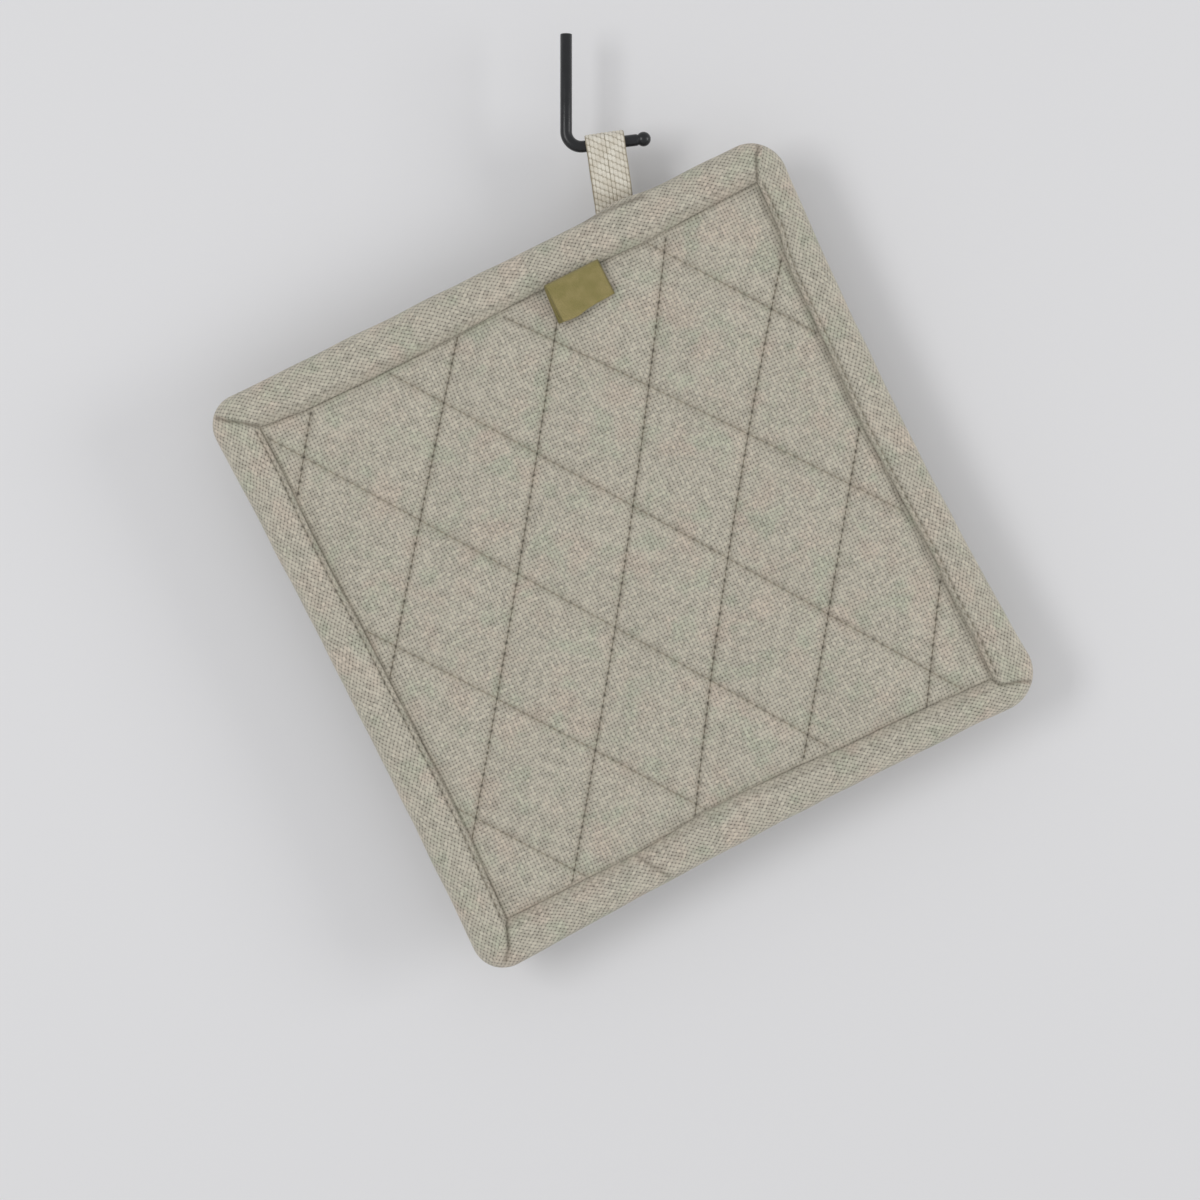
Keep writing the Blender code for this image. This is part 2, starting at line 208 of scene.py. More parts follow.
def linen(name, step_angles, straying):
    """Linen; each step angle is the way across one set of yarns, from the cloth map's first axis."""
    cloth = Nodes(name)
    flat = cloth.node("ShaderNodeUVMap", settings=(("uv_map", "cloth"),))
    slow = cloth.noise(flat, 55.0, 2.0, "Color")
    quick = cloth.noise(flat, 330.0, 1.0, "Color")
    slow = cloth.vector_math("SUBTRACT", slow, (0.5, 0.5, 0.5))
    quick = cloth.vector_math("SUBTRACT", quick, (0.5, 0.5, 0.5))
    strayed = cloth.vector_math("MULTIPLY_ADD", slow, (straying,) * 3, flat)
    strayed = cloth.vector_math("MULTIPLY_ADD", quick, (0.00035,) * 3, strayed)
    turns = [math.radians(angle) for angle in step_angles]
    ways = [(math.cos(turn) / YARN_PITCH, math.sin(turn) / YARN_PITCH, 0.0) for turn in turns]
    warp = cloth.vector_math("DOT_PRODUCT", strayed, ways[0], output="Value")
    weft = cloth.vector_math("DOT_PRODUCT", strayed, ways[1], output="Value")

    def yarn(across, along):
        """Cover of one set of yarns, its middle line's share and a streak that runs along it."""
        number = cloth.math("FLOOR", across)
        streak = cloth.noise(cloth.combine(number, cloth.math("MULTIPLY", along, 0.16)), 1.7, 2.0)
        half = cloth.ramp(streak, 0.25, 0.75, YARN_HALF_WIDTH - 0.055, YARN_HALF_WIDTH + 0.055)
        off = cloth.math("ABSOLUTE", cloth.math("SUBTRACT", cloth.math("FRACT", across), 0.5))
        edge = cloth.math("SUBTRACT", off, half)
        cover = cloth.ramp(edge, -0.05, 0.09, 1.0, 0.0)
        crown = cloth.math("SUBTRACT", 1.0, cloth.math("POWER", cloth.math("DIVIDE", off, 0.5), 2.0))
        return cover, crown, streak

    warp_cover, warp_crown, warp_streak = yarn(warp, weft)
    weft_cover, weft_crown, weft_streak = yarn(weft, warp)
    parity = cloth.math("ADD", cloth.math("FLOOR", warp), cloth.math("FLOOR", weft))
    parity = cloth.math("MODULO", cloth.math("ABSOLUTE", parity), 2.0)
    upper = cloth.math("MULTIPLY_ADD", parity, -2.0, 1.0)
    warp_turn = cloth.math("SINE", cloth.math("MULTIPLY", cloth.math("FRACT", weft), math.pi))
    weft_turn = cloth.math("SINE", cloth.math("MULTIPLY", cloth.math("FRACT", warp), math.pi))

    def lifted(crown, cover, turn, sign):
        """Height of one set of yarns as it goes over and under the other."""
        rise = cloth.math("MULTIPLY", cloth.math("MULTIPLY", turn, upper), sign * 0.36)
        height = cloth.math("ADD", cloth.math("MULTIPLY_ADD", crown, 0.34, 0.30), rise)
        return cloth.math("MULTIPLY", height, cover)

    warp_height = lifted(warp_crown, warp_cover, warp_turn, 1.0)
    weft_height = lifted(weft_crown, weft_cover, weft_turn, -1.0)
    height = cloth.math("MAXIMUM", warp_height, weft_height)
    covered = cloth.math("MAXIMUM", warp_cover, weft_cover)

    painted_crease_shade = cloth.attribute("painted_crease_shade")
    needle_dip_and_shade = cloth.attribute("needle_dip_and_shade")
    patches = cloth.noise(flat, 70.0, 3.0)
    other_patches = cloth.noise(cloth.vector_math("ADD", flat, (3.1, 1.7, 0.0)), 95.0, 3.0)
    yarn_colour = cloth.mix(cloth.ramp(patches, 0.48, 0.68), LINEN_YARN, LINEN_ROSY)
    yarn_colour = cloth.mix(cloth.ramp(other_patches, 0.50, 0.70), yarn_colour, LINEN_GREENISH)
    over_warp = cloth.math("GREATER_THAN", warp_height, weft_height)
    streak_change = cloth.math("SUBTRACT", warp_streak, weft_streak)
    streaks = cloth.math("MULTIPLY_ADD", streak_change, over_warp, weft_streak)
    light = cloth.ramp(streaks, 0.28, 0.72, 0.80, 1.10)
    # Fine flecks of random tone; the brighter ones are painted fibre highlights
    flecks = cloth.noise(flat, 3400.0, 2.0)
    light = cloth.math("MULTIPLY", light, cloth.ramp(flecks, 0.25, 0.80, 0.90, 1.14))
    # Painted shade on the yarns: lower flanks darker, crowns lighter
    light = cloth.math("MULTIPLY", light, cloth.ramp(height, 0.15, 0.95, 0.74, 1.06))
    yarn_colour = cloth.mix(1.0, yarn_colour, cloth.combine(light, light, light), "MULTIPLY")
    # Painted shade in the holes between yarns, lighter where the cloth is held by a seam
    bare = cloth.math("SUBTRACT", 1.0, covered)
    depth = cloth.math("MULTIPLY", bare, cloth.ramp(painted_crease_shade, 0.0, 1.0, 1.0, 0.45))
    colour = cloth.mix(depth, yarn_colour, LINEN_HOLE_SHADE)
    # Painted shade along the seams, the ditch and the binding's creases
    colour = cloth.mix(cloth.math("MULTIPLY", painted_crease_shade, 0.22), colour, LINEN_SEAM_SHADE)
    # Painted shade in the needle holes
    colour = cloth.mix(needle_dip_and_shade, colour, LINEN_NEEDLE_HOLE_SHADE)
    fibres = cloth.noise(flat, 2200.0, 3.0)
    relief = cloth.math("MULTIPLY_ADD", fibres, 0.22, height)
    cloth.set(Roughness=0.92, Specular_IOR_Level=0.22, Sheen_Weight=0.22, Sheen_Roughness=0.5)
    return cloth.finish(colour, relief, 0.00030, 0.9)


quilt_linen = linen("quilt_linen", (0.0, 90.0), 0.0022)


# ---------------------------------------------------------------------------------------------
# Quilted pad.  Two linen cloths with wadding between them, sewn through along two families of
# slanting seams, so that the wadding stands up in diamonds and the cloth puckers at the thread.
# ---------------------------------------------------------------------------------------------

# Where each seam crosses the heights +SEAM_SPAN, 0 and -SEAM_SPAN of the pad
SEAM_SPAN = 0.060
Seam = namedtuple("Seam", "upper_x middle_x lower_x")
RIGHT_LEANING = (
    Seam(-0.0870, -0.1296, -0.1720),
    Seam(-0.0365, -0.0825, -0.1270),
    Seam(0.0031, -0.0395, -0.0835),
    Seam(0.0415, 0.0013, -0.0413),
    Seam(0.0860, 0.0410, -0.0003),
    Seam(0.1270, 0.0840, 0.0405),
    Seam(0.1700, 0.1240, 0.0825),
)
LEFT_LEANING = (
    Seam(-0.1650, -0.1210, -0.0775),
    Seam(-0.1200, -0.0755, -0.0320),
    Seam(-0.0700, -0.0280, 0.0133),
    Seam(-0.0252, 0.0167, 0.0580),
    Seam(0.0175, 0.0640, 0.1090),
    Seam(0.0680, 0.1110, 0.1540),
)
MEAN_SPACING = 0.0435
SLOPES_SUM = 1.45

# The binding's inner edge, a line along each side of the pad: place along the side and across it
Line = namedtuple("Line", "along across")
DITCH = {
    "left": Line((-0.0894, -0.060, -0.040, -0.010, 0.012, 0.030, 0.050, 0.070, 0.0868),
                 (-0.0862, -0.0850, -0.0850, -0.0857, -0.0860, -0.0867, -0.0870, -0.0866, -0.0870)),
    "right": Line((-0.0896, -0.075, -0.060, -0.047, -0.020, 0.0, 0.030, 0.055, 0.062, 0.069, 0.0864),
                  (0.0876, 0.0880, 0.0875, 0.0880, 0.0868, 0.0863, 0.0872, 0.0876, 0.0884, 0.0901, 0.0906)),
    "top": Line((-0.0870, -0.072, -0.050, -0.020, 0.005, 0.030, 0.050, 0.070, 0.0906),
                (0.0868, 0.0852, 0.0848, 0.0850, 0.0860, 0.0859, 0.0851, 0.0859, 0.0864)),
    "bottom": Line((-0.0862, -0.040, -0.030, -0.015, 0.0, 0.020, 0.035, 0.050, 0.070, 0.0876),
                   (-0.0894, -0.0890, -0.0884, -0.0867, -0.0865, -0.0870, -0.0881, -0.0880, -0.0887,
                    -0.0896)),
}

CROWN = 0.0043
CHANNEL = 0.0023
DITCH_HALF = 0.0017
ROWS_PER_DIAMOND = 22
LATTICE = 9
# The cloth goes on under the binding, from the ditch's usual place on each side
PAD_SIDES_X = ((-0.0862, -1), (0.0882, 1))
PAD_SIDES_Z = ((-0.0885, -1), (0.0858, 1))
PAD_REACH = 0.0068
PAD_CORNER = 0.0070


def seam_x(family, number, z):
    """x of a seam at a height; numbers between seams, and beyond the last ones, are allowed."""
    table = np.array(family)
    below = np.clip(np.floor(number).astype(int), 1, len(family) - 1)

    def at(index):
        upper, middle, lower = table[index - 1].T
        slope = (upper - lower) / (2.0 * SEAM_SPAN)
        bend = (upper + lower - 2.0 * middle) / (2.0 * SEAM_SPAN ** 2)
        return middle + slope * z + bend * np.clip(z, -0.1, 0.1) ** 2

    return at(below) + (at(below + 1) - at(below)) * (number - below)


def lattice_place(right_number, left_number):
    """Where two seams of given numbers cross."""
    z = np.zeros_like(right_number)
    for _ in range(40):
        miss = seam_x(RIGHT_LEANING, right_number, z) - seam_x(LEFT_LEANING, left_number, z)
        z = z - miss / SLOPES_SUM
    return seam_x(RIGHT_LEANING, right_number, z), z


def lattice_numbers(x, z):
    """Seam numbers, of both families, at a place on the pad."""
    numbers = []
    for family in (RIGHT_LEANING, LEFT_LEANING):
        number = np.full(len(x), 4.0)
        for _ in range(40):
            number = number - (seam_x(family, number, z) - x) / MEAN_SPACING
        numbers.append(number)
    return numbers


def inside_ditch(x, z):
    """How far a place lies inside the binding's inner edge."""
    left = x - np.interp(z, *DITCH["left"])
    right = np.interp(z, *DITCH["right"]) - x
    top = np.interp(x, *DITCH["top"]) - z
    bottom = z - np.interp(x, *DITCH["bottom"])
    return np.minimum(np.minimum(left, right), np.minimum(top, bottom))


def drawn_to_seam(row):
    """Share of a diamond at a row, with the first rows beside a seam drawn close to it."""
    near = (0.0, 0.62)
    if row < len(near):
        return near[row] / ROWS_PER_DIAMOND
    if row > ROWS_PER_DIAMOND - len(near):
        return 1.0 - near[ROWS_PER_DIAMOND - row] / ROWS_PER_DIAMOND
    return row / ROWS_PER_DIAMOND


def resting_half(x, z):
    """Half thickness before the wadding swells: thin at seams and thinner at the ditch."""
    right_number, left_number = lattice_numbers(x, z)
    off_right = np.abs(right_number - np.round(right_number))
    off_left = np.abs(left_number - np.round(left_number))
    inside = inside_ditch(x, z)
    edge = smooth(inside / 0.006)
    crossing = np.exp(-(off_right ** 2 + off_left ** 2) / 0.012)
    channel = CHANNEL - 0.0004 * crossing
    puff = np.sqrt(np.clip(np.sin(math.pi * off_right) * np.sin(math.pi * off_left), 0.0, 1.0))
    half = DITCH_HALF + (channel - DITCH_HALF) * edge + 0.0013 * puff * edge
    flange = DITCH_HALF * (1.0 - 0.35 * np.clip(-inside / PAD_REACH, 0.0, 1.0))
    half = np.where(inside < 0.0, flange, half)
    sewn = (np.minimum(off_right, off_left) < 0.001) | (inside < 0.0005)
    return half, sewn


def cut_pad_cloth():
    """A cloth whose rows follow the seams, trimmed to a square with rounded corners."""
    bm = bmesh.new()
    cells = LATTICE * ROWS_PER_DIAMOND
    bmesh.ops.create_grid(bm, x_segments=cells, y_segments=cells, size=LATTICE / 2.0)
    steps = np.array([(v.co.x, v.co.y) for v in bm.verts])
    steps = np.round((steps + LATTICE / 2.0) * ROWS_PER_DIAMOND).astype(int)
    share = np.array([drawn_to_seam(row) for row in range(ROWS_PER_DIAMOND)])
    numbers = steps // ROWS_PER_DIAMOND + share[steps % ROWS_PER_DIAMOND]
    x, z = lattice_place(numbers[:, 0], numbers[:, 1] - 1.0)
    for vert, new_x, new_z in zip(bm.verts, x, z):
        vert.co = (new_x, 0.0, new_z)
    for side_x, x_way in PAD_SIDES_X:
        trim(bm, Vector((x_way, 0, 0)) * (abs(side_x) + PAD_REACH), Vector((x_way, 0, 0)))
    for side_z, z_way in PAD_SIDES_Z:
        trim(bm, Vector((0, 0, z_way)) * (abs(side_z) + PAD_REACH), Vector((0, 0, z_way)))
    for side_x, x_way in PAD_SIDES_X:
        for side_z, z_way in PAD_SIDES_Z:
            inset = PAD_REACH - PAD_CORNER
            middle = Vector((side_x + inset * x_way, 0.0, side_z + inset * z_way))
            for angle in (22.5, 45.0, 67.5):
                turn = math.radians(angle)
                outward = Vector((x_way * math.cos(turn), 0.0, z_way * math.sin(turn)))
                trim(bm, middle + outward * PAD_CORNER, outward)
    rim = [vert for vert in bm.verts if vert.is_boundary]
    bmesh.ops.remove_doubles(bm, verts=rim, dist=0.0003)
    return bm


def trim(bm, point, outward):
    everything = bm.verts[:] + bm.edges[:] + bm.faces[:]
    bmesh.ops.bisect_plane(bm, geom=everything, dist=1e-5, plane_co=point, plane_no=outward,
                           clear_outer=True)


def make_pad_shell():
    """Two cloths joined round the rim, at rest, with the sewn points grouped and flat sizes kept."""
    bm = cut_pad_cloth()
    bmesh.ops.recalc_face_normals(bm, faces=bm.faces)
    bmesh.ops.solidify(bm, geom=bm.faces[:], thickness=0.001)
    points = np.array([vert.co for vert in bm.verts])
    half, sewn = resting_half(points[:, 0], points[:, 2])
    behind = points[:, 1] > points[:, 1].mean()
    flat_map = bm.loops.layers.uv.new("cloth")
    for vert, lift, back in zip(bm.verts, half, behind):
        vert.co.y = lift if back else -lift
        for loop in vert.link_loops:
            loop[flat_map].uv = (vert.co.x, vert.co.z)
    bmesh.ops.recalc_face_normals(bm, faces=bm.faces)
    return mesh_of(bm, "pad_shell"), sewn


def swell(shell, sewn):
    """Let the wadding press the cloths out between the sewn points."""
    group = shell.vertex_groups.new(name="sewn")
    group.add([int(i) for i in np.nonzero(sewn)[0]], 1.0, "REPLACE")
    cloth = shell.modifiers.new("Swelling", "CLOTH")
    settings = cloth.settings
    settings.quality = 6
    settings.mass = 0.15
    settings.tension_stiffness = 20.0
    settings.compression_stiffness = 20.0
    settings.shear_stiffness = 8.0
    settings.bending_stiffness = 0.4
    settings.use_pressure = True
    settings.uniform_pressure_force = 4.5
    settings.shrink_min = -0.016
    settings.vertex_group_mass = "sewn"
    settings.effector_weights.gravity = 0.0
    cloth.collision_settings.use_collision = False
    cloth.point_cache.frame_start = 1
    cloth.point_cache.frame_end = 20
    for step in range(1, 21):
        bpy.context.scene.frame_set(step)
    grown = bpy.data.meshes.new_from_object(
        shell.evaluated_get(bpy.context.evaluated_depsgraph_get()))
    shell.modifiers.clear()
    bpy.context.scene.frame_set(1)
    return grown


shell_mesh, pad_sewn = make_pad_shell()
shell = bpy.data.objects.new("pad_shell", shell_mesh)
bpy.context.scene.collection.objects.link(shell)
at_rest = np.array([v.co for v in shell_mesh.vertices])
SWELL_CAP = 0.0022
grown = swell(shell, pad_sewn)
points = np.array([v.co for v in grown.vertices])
move = points - at_rest
far = np.linalg.norm(move, axis=1, keepdims=True)
move = move * np.minimum(1.0, SWELL_CAP / np.maximum(far, 1e-9))
points = at_rest + move
for vert, point in zip(shell_mesh.vertices, points):
    vert.co = point

# One subdivision rounds the swollen cloth; the seams stay sharp
numbers = lattice_numbers(at_rest[:, 0], at_rest[:, 2])
off_seams = [np.abs(number - np.round(number)) for number in numbers]
on_seam = np.minimum(*off_seams) < 0.001
on_seam &= inside_ditch(at_rest[:, 0], at_rest[:, 2]) > 0.0
crease = shell_mesh.attributes.new("crease_edge", "FLOAT", "EDGE")
sharp = [0.9 if on_seam[e.vertices[0]] and on_seam[e.vertices[1]] else 0.0 for e in shell_mesh.edges]
crease.data.foreach_set("value", sharp)
rounding = shell.modifiers.new("Rounding", "SUBSURF")
rounding.levels = 1
rounding.render_levels = 1
pad_mesh = bpy.data.meshes.new_from_object(shell.evaluated_get(bpy.context.evaluated_depsgraph_get()))
bpy.data.objects.remove(shell)

# The needle draws the cloth in at every fourth row of a seam, and the cloth beside it gets painted shade
STITCH_ROWS = 4
NEEDLE_DIP = {"right": 0.00060, "left": 0.00040}
# Distance from one seam of a family to the next, square to the seams
RIGHT_SEAM_APART = 0.0346
LEFT_SEAM_APART = 0.0360


def press_seams(mesh):
    """Dimple the needle holes, and mark painted shade in them and beside the seams by how closely each
    point is held.
    """
    points = np.array([v.co for v in mesh.vertices])
    right_number, left_number = lattice_numbers(points[:, 0], points[:, 2])
    off_right = np.abs(right_number - np.round(right_number)) * RIGHT_SEAM_APART
    off_left = np.abs(left_number - np.round(left_number)) * LEFT_SEAM_APART
    inside = inside_ditch(points[:, 0], points[:, 2])
    within = smooth(inside / 0.001)
    fine = 2.0 * ROWS_PER_DIAMOND / STITCH_ROWS
    needle_dip_and_shade = np.zeros(len(points))
    dip = np.zeros(len(points))
    for name, off, along in (("right", off_right, left_number), ("left", off_left, right_number)):
        phase = np.abs(along * fine - np.round(along * fine))
        hole = np.exp(-(phase / 0.16) ** 2) * np.exp(-(off / 0.00040) ** 2) * within
        dip += NEEDLE_DIP[name] * hole
        # Painted shade in the needle holes, stronger on the right-leaning seams
        needle_dip_and_shade = np.maximum(needle_dip_and_shade, hole * (0.95 if name == "right" else 0.60))
    # Painted shade along the seams, stronger beside the right-leaning ones, and along the ditch
    seam_and_ditch_shade = np.exp(-(off_right / 0.0011) ** 2) + 0.8 * np.exp(-(off_left / 0.0013) ** 2)
    seam_and_ditch_shade = np.maximum(seam_and_ditch_shade, np.exp(-(np.clip(inside, 0.0, 1.0) / 0.0012) ** 2))
    for vert, sink in zip(mesh.vertices, dip):
        vert.co.y -= math.copysign(sink, vert.co.y)
    set_attribute(mesh, "painted_crease_shade", np.clip(seam_and_ditch_shade, 0.0, 1.0))
    set_attribute(mesh, "needle_dip_and_shade", np.clip(needle_dip_and_shade, 0.0, 1.0))


press_seams(pad_mesh)
pad_faces = [tuple(face.vertices) for face in pad_mesh.polygons]
pad_surface = BVHTree.FromPolygons([tuple(v.co) for v in pad_mesh.vertices], pad_faces)
pad = add_piece("pad", pad_mesh, quilt_linen, pad_place)
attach(pad, "root")
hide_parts("quilted_pad")


# ---------------------------------------------------------------------------------------------
# Quilting thread.  Lockstitches along every seam, on the face and behind: each stitch lies on the
# cloth for its length and dives into a needle hole at both ends.
# ---------------------------------------------------------------------------------------------

THREAD_RADIUS = 0.00017
STITCH_SHAPE = ((0.0, -0.00060), (0.16, -0.00010), (0.5, 0.00006), (0.84, -0.00010), (1.0, -0.00060))


def cotton_thread(name, light, dark):
    """Matt sewing thread, lighter and darker along its twist."""
    thread = Nodes(name)
    place = thread.node("ShaderNodeTexCoord", 3)
    twist = thread.noise(place, 2600.0, 2.0)
    colour = thread.mix(thread.ramp(twist, 0.35, 0.65), dark, light)
    thread.set(Roughness=0.8, Specular_IOR_Level=0.25, Sheen_Weight=0.15)
    return thread.finish(colour, twist, 0.00012)


def sew(name, stitches, radius, material):
    """Make stitches, each a few points of its middle line, as one piece of thread."""
    curve = bpy.data.curves.new(name, "CURVE")
    curve.dimensions = "3D"
    curve.bevel_depth = radius
    curve.bevel_resolution = 1
    curve.resolution_u = 1
    curve.use_fill_caps = True
    for points in stitches:
        spline = curve.splines.new("POLY")
        spline.points.add(len(points) - 1)
        for point, place in zip(spline.points, points):
            point.co = (*place, 1.0)
    laid = bpy.data.objects.new(name + "_laid", curve)
    bpy.context.scene.collection.objects.link(laid)
    mesh = bpy.data.meshes.new_from_object(laid.evaluated_get(bpy.context.evaluated_depsgraph_get()))
    bpy.data.objects.remove(laid)
    piece = add_piece(name, mesh, material, pad_place)
    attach(piece, "root")
    return piece


def stitch_on(surface, start, end, front):
    """Points of one stitch between two needle holes on a cloth, on the face or behind."""
    points = []
    for share, lift in STITCH_SHAPE:
        x = start[0] + (end[0] - start[0]) * share
        z = start[1] + (end[1] - start[1]) * share
        origin = Vector((x, -0.03 if front else 0.03, z))
        hit = surface.ray_cast(origin, Vector((0.0, 1.0 if front else -1.0, 0.0)))[0]
        if hit is None:
            return None
        points.append((x, hit.y - lift if front else hit.y + lift, z))
    return points


def seam_stitches(family):
    """Stitches along every seam of one family, from ditch to ditch, on both sides of the pad."""
    holes_per_diamond = 2 * ROWS_PER_DIAMOND // STITCH_ROWS
    stitches = []
    seams = RIGHT_LEANING if family == "right" else LEFT_LEANING
    for number in range(1, len(seams) + 1):
        crossed = np.arange(-1.0, 9.0, 1.0 / holes_per_diamond)
        same = np.full(len(crossed), float(number))
        x, z = lattice_place(same, crossed) if family == "right" else lattice_place(crossed, same)
        inside = inside_ditch(x, z) > 0.0002
        for i in range(len(x) - 1):
            if inside[i] and inside[i + 1]:
                for front in (True, False):
                    stitch = stitch_on(pad_surface, (x[i], z[i]), (x[i + 1], z[i + 1]), front)
                    if stitch:
                        stitches.append(stitch)
    return stitches


# The right-leaning seams' thread is coloured dark as painted shade in their creases
seam_shade_thread = cotton_thread("seam_thread_painted_shade", colour_of(132, 122, 104), colour_of(92, 84, 70))
pale_thread = cotton_thread("seam_thread_pale", colour_of(176, 168, 150), colour_of(128, 119, 100))
sew("quilting_thread_right", seam_stitches("right"), THREAD_RADIUS, seam_shade_thread)
sew("quilting_thread_left", seam_stitches("left"), THREAD_RADIUS, pale_thread)


# ---------------------------------------------------------------------------------------------
# Edge binding.  One strip of the same linen cut on the bias, folded over the pad's edge all the
# way round, its inner edges turned under and sewn through, mitred at the corners.
# ---------------------------------------------------------------------------------------------

Corner = namedtuple("Corner", "x_way z_way outer_x outer_z radius inner_x inner_z")
CORNERS = {
    "bottom_left": Corner(-1, -1, -0.0997, -0.1040, 0.0100, -0.0862, -0.0894),
    "bottom_right": Corner(1, -1, 0.1013, -0.1006, 0.0125, 0.0876, -0.0896),
    "top_right": Corner(1, 1, 0.1012, 0.0997, 0.0120, 0.0906, 0.0864),
    "top_left": Corner(-1, 1, -0.1012, 0.1000, 0.0100, -0.0870, 0.0868),
}
# Sides in order round the pad: from corner, to corner, way along, way outward, drawn in, ridged
Side = namedtuple("Side", "name start end along outward drawn_in ridge")
SIDES = (
    Side("bottom", "bottom_left", "bottom_right", (1, 0), (0, -1), 0.0015, 0.0),
    Side("right", "bottom_right", "top_right", (0, 1), (1, 0), 0.0026, 1.0),
    Side("top", "top_right", "top_left", (-1, 0), (0, 1), 0.0, 0.0),
    Side("left", "top_left", "bottom_left", (0, -1), (-1, 0), 0.0009, 1.0),
)
INNER_ROUND = 0.0008
COLUMN_STEP = 0.0011
FAN_COLUMNS = 26
NOSE = 0.0036
LOOP_BUMP = (0.0470, 0.0080, 0.0011)

# Across the binding from the turned-under edge: distance from the ditch and height, where a line
# of edge stitching leaves a ridge, and where the edge is sewn from behind and lies plain
RIDGED = ((0.00050, 0.00175), (0.00012, 0.00200), (0.0, 0.00245), (0.00012, 0.00292),
          (0.00042, 0.00325), (0.00080, 0.00338), (0.00115, 0.00325), (0.00145, 0.00290),
          (0.00175, 0.00312), (0.00225, 0.00338), (0.00320, 0.00352))
PLAIN = ((0.00050, 0.00175), (0.00014, 0.00195), (0.0, 0.00225), (0.00014, 0.00255),
         (0.00050, 0.00282), (0.00095, 0.00300), (0.00140, 0.00312), (0.00190, 0.00320),
         (0.00240, 0.00322), (0.00290, 0.00318), (0.00345, 0.00335))
FACE_SHARES = ((0.12, 0.00356), (0.30, 0.00366), (0.48, 0.00372), (0.66, 0.00374), (0.84, 0.00370))
NOSE_STEPS = 14
STITCH_PITCH = 0.0033
EDGE_STITCH_IN = 0.00145
LIP_STITCH_IN = 0.00290


def binding_columns():
    """Where the binding's inner and outer edges lie, column by column round the pad."""
    columns = []
    for index, side in enumerate(SIDES):
        start, end = CORNERS[side.start], CORNERS[side.end]
        along, outward = np.array(side.along, float), np.array(side.outward, float)
        flat = 0 if side.along[0] else 1

        def inner_middle(corner):
            return np.array((corner.inner_x - corner.x_way * INNER_ROUND,
                             corner.inner_z - corner.z_way * INNER_ROUND))

        def outer_middle(corner):
            return np.array((corner.outer_x - corner.x_way * corner.radius,
                             corner.outer_z - corner.z_way * corner.radius))

        length = abs(inner_middle(end)[flat] - inner_middle(start)[flat])
        count = round(length / COLUMN_STEP)
        for step in range(count):
            share = step / count
            inner = inner_middle(start) * (1 - share) + inner_middle(end) * share
            inner[1 - flat] = np.interp(inner[flat], *DITCH[side.name])
            outer = outer_middle(start) * (1 - share) + outer_middle(end) * share
            rim = start.radius * (1 - share) + end.radius * share
            outer = outer + outward * (rim - side.drawn_in * (1.0 - (2.0 * share - 1.0) ** 2))
            if side.name == "top":
                outer[1] += LOOP_BUMP[2] * math.exp(-((outer[0] - LOOP_BUMP[0]) / LOOP_BUMP[1]) ** 2)
            columns.append((inner, outer, index, side.ridge))
        following = (index + 1) % len(SIDES)
        for step in range(FAN_COLUMNS):
            share = step / FAN_COLUMNS
            eased = 0.5 + 0.5 * math.copysign(abs(2.0 * share - 1.0) ** 1.3, share - 0.5)
            turn = eased * math.pi / 2.0
            ray = outward * math.cos(turn) + along * math.sin(turn)
            inner = inner_middle(end) + ray * INNER_ROUND
            outer = outer_middle(end) + ray * end.radius
            ridge = side.ridge + (SIDES[following].ridge - side.ridge) * float(smooth(eased * 2.0 - 0.5))
            columns.append((inner, outer, index if share < 0.5 else following, ridge))
    return columns


def across_binding(ridge, length):
    """Distance from the ditch and height of every row, face, nose and back, for one column."""
    near = [(plain[0] + (ridged[0] - plain[0]) * ridge, plain[1] + (ridged[1] - plain[1]) * ridge)
            for ridged, plain in zip(RIDGED, PLAIN)]
    run = length - NOSE - near[-1][0]
    face = near + [(near[-1][0] + run * share, lift) for share, lift in FACE_SHARES]
    nose = []
    for step in range(NOSE_STEPS + 1):
        turn = math.pi * (0.5 - step / NOSE_STEPS)
        nose.append((length - NOSE + NOSE * math.cos(turn), 0.00362 * math.sin(turn)))
    back = [(distance, -lift) for distance, lift in reversed(face)]
    return np.array(face + nose + back)


# Creases across the binding's face: a line of places, depth, half width, and how far the cloth on
# the line's left laps over that on its right
Crease = namedtuple("Crease", "line depth half_width lap")
CREASES = (
    Crease(((-0.0870, 0.0872), (-0.0912, 0.0905), (-0.0950, 0.0930), (-0.0978, 0.0955)),
           0.00085, 0.00055, -0.00030),
    Crease(((0.0908, 0.0868), (0.0925, 0.0910), (0.0940, 0.0940), (0.0960, 0.0965)),
           0.00075, 0.00055, 0.00025),
    Crease(((0.0874, -0.0898), (0.0882, -0.0921), (0.0912, -0.0932), (0.0950, -0.0941),
            (0.0985, -0.0960)), 0.00075, 0.00055, 0.00025),
    Crease(((-0.0864, -0.0898), (-0.0880, -0.0940), (-0.0896, -0.0980), (-0.0922, -0.1008)),
           0.00110, 0.00060, -0.00040),
    Crease(((-0.0397, -0.0895), (-0.0365, -0.0950), (-0.0334, -0.0998)), 0.00045, 0.00060, 0.00015),
    Crease(((0.0350, 0.1000), (0.0420, 0.0994), (0.0500, 0.0988), (0.0560, 0.0984)), 0.00060, 0.00070, 0.0),
)


